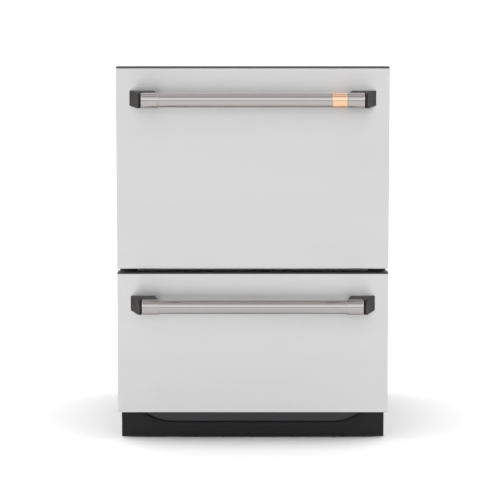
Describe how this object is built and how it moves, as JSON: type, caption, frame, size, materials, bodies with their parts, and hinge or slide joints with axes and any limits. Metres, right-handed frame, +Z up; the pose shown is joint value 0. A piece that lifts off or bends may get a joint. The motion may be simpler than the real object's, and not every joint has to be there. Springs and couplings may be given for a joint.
{
  "type": "two-drawer under-counter refrigerator",
  "caption": "Built-in under-counter refrigerator: stacked brushed-steel drawer fronts with bar handles, toe plate, slides, bins and cooling machinery.",
  "frame": {"origin": "on the floor, in the middle of the overall width and depth", "axes": "+Z up, the drawers open towards -Y, +X to the right seen from the front"},
  "size_m": [0.603, 0.681, 0.8495],
  "materials": {
    "case_paint": "satin black powder coat",
    "zinc_steel": "bright zinc-plated sheet",
    "front_steel": "fine horizontal brushed stainless",
    "handle_steel": "polished round stainless",
    "band_copper": "brushed copper colour",
    "arm_plastic": "satin dark charcoal",
    "cap_plastic": "satin dark grey",
    "kick_plastic": "fine textured black",
    "liner_plastic": "white thermoformed liner",
    "foam": "rigid foam",
    "seal_rubber": "soft grey magnetic seal",
    "bin_plastic": "clear moulded bin",
    "light_lens": "frosted diffuser",
    "display": "dark smoked window",
    "button_plastic": "satin grey",
    "machine_black": "gloss black enamel",
    "motor_grey": "grey cast housing",
    "fan_plastic": "black moulded",
    "fin_aluminium": "bare fins and tubes",
    "line_copper": "bright copper tube",
    "mount_rubber": "black rubber",
    "foot_plastic": "black foot and steel stud",
    "tray_plastic": "black tray"
  },
  "bodies": {
    "cabinet": {"case_wrapper": "case_paint", "bottom_deck": "zinc_steel", "inner_liner": "liner_plastic", "foam_insulation": "foam", "back_panel": "zinc_steel", "center_mullion": "liner_plastic", "base_pan": "zinc_steel", "kick_plate": "kick_plastic", "machine_cover": "case_paint", "power_inlet": "fan_plastic", "case_screws": "zinc_steel", "compressor": "machine_black", "compressor_grommets": "mount_rubber", "condenser": "fin_aluminium", "fan_shroud": "zinc_steel", "condenser_fan_motor": "motor_grey", "drip_tray": "tray_plastic", "refrigerant_lines": "line_copper", "evaporator_cover": "liner_plastic", "evaporator": "fin_aluminium", "evaporator_fan_motor": "motor_grey", "control_housing": "liner_plastic", "display_lens": "display", "light_bars": "light_lens", "counter_brackets": "zinc_steel", "upper_cabinet_rails": "zinc_steel", "lower_cabinet_rails": "zinc_steel"},
    "upper_drawer": {"upper_front_skin": "front_steel", "upper_top_cap": "cap_plastic", "upper_front_tray": "liner_plastic", "upper_front_core": "foam", "upper_gasket": "seal_rubber", "upper_drawer_frame": "zinc_steel", "upper_bin": "bin_plastic", "upper_handle_arms": "arm_plastic", "upper_handle_bar": "handle_steel", "upper_handle_sleeves": "handle_steel", "upper_handle_band": "band_copper"},
    "lower_drawer": {"lower_front_skin": "front_steel", "lower_top_cap": "cap_plastic", "lower_front_tray": "liner_plastic", "lower_front_core": "foam", "lower_gasket": "seal_rubber", "lower_drawer_frame": "zinc_steel", "lower_bin": "bin_plastic", "lower_handle_arms": "arm_plastic", "lower_handle_bar": "handle_steel", "lower_handle_sleeves": "handle_steel"},
    "upper_middle_rails": {"upper_middle_rails": "zinc_steel"},
    "lower_middle_rails": {"lower_middle_rails": "zinc_steel"},
    "upper_bin_divider": {"upper_bin_divider": "bin_plastic"},
    "condenser_fan_rotor": {"condenser_fan_rotor": "fan_plastic"},
    "evaporator_fan_rotor": {"evaporator_fan_rotor": "fan_plastic"},
    "leg_front_left": {"leg_front_left": "foot_plastic"},
    "leg_front_right": {"leg_front_right": "foot_plastic"},
    "leg_rear_left": {"leg_rear_left": "foot_plastic"},
    "leg_rear_right": {"leg_rear_right": "foot_plastic"},
    "power_button": {"power_button": "button_plastic"},
    "warmer_button": {"warmer_button": "button_plastic"},
    "cooler_button": {"cooler_button": "button_plastic"}
  },
  "joints": [
    {"name": "upper_drawer_slide", "type": "slide", "parent": "cabinet", "child": "upper_drawer", "axis": [0, -1, 0], "range_m": [0, 0.43]},
    {"name": "lower_drawer_slide", "type": "slide", "parent": "cabinet", "child": "lower_drawer", "axis": [0, -1, 0], "range_m": [0, 0.285]},
    {"name": "upper_middle_slide", "type": "slide", "parent": "cabinet", "child": "upper_middle_rails", "axis": [0, -1, 0], "range_m": [0, 0.215]},
    {"name": "lower_middle_slide", "type": "slide", "parent": "cabinet", "child": "lower_middle_rails", "axis": [0, -1, 0], "range_m": [0, 0.1425]},
    {"name": "divider_slide", "type": "slide", "parent": "upper_drawer", "child": "upper_bin_divider", "axis": [0, 1, 0], "range_m": [-0.18, 0.18]},
    {"name": "condenser_fan_spin", "type": "hinge", "parent": "cabinet", "child": "condenser_fan_rotor", "pos_m": [-0.183, 0.2235, 0.12475], "axis": [1, 0, 0], "continuous": true},
    {"name": "evaporator_fan_spin", "type": "hinge", "parent": "cabinet", "child": "evaporator_fan_rotor", "pos_m": [0, 0.269, 0.6285], "axis": [0, 1, 0], "continuous": true},
    {"name": "leg_front_left_screw", "type": "slide", "parent": "cabinet", "child": "leg_front_left", "axis": [0, 0, -1], "range_m": [0, 0.02]},
    {"name": "leg_front_right_screw", "type": "slide", "parent": "cabinet", "child": "leg_front_right", "axis": [0, 0, -1], "range_m": [0, 0.02]},
    {"name": "leg_rear_left_screw", "type": "slide", "parent": "cabinet", "child": "leg_rear_left", "axis": [0, 0, -1], "range_m": [0, 0.02]},
    {"name": "leg_rear_right_screw", "type": "slide", "parent": "cabinet", "child": "leg_rear_right", "axis": [0, 0, -1], "range_m": [0, 0.02]},
    {"name": "power_button_press", "type": "slide", "parent": "cabinet", "child": "power_button", "axis": [0, 1, 0], "range_m": [0, 0.001], "stiffness_N_per_m": 900, "springref_m": -0.0003},
    {"name": "warmer_button_press", "type": "slide", "parent": "cabinet", "child": "warmer_button", "axis": [0, 1, 0], "range_m": [0, 0.001], "stiffness_N_per_m": 900, "springref_m": -0.0003},
    {"name": "cooler_button_press", "type": "slide", "parent": "cabinet", "child": "cooler_button", "axis": [0, 1, 0], "range_m": [0, 0.001], "stiffness_N_per_m": 900, "springref_m": -0.0003}
  ],
  "couplings": [
    {"joint": "upper_middle_slide", "follows": "upper_drawer_slide", "ratio": 0.5},
    {"joint": "lower_middle_slide", "follows": "lower_drawer_slide", "ratio": 0.5}
  ]
}
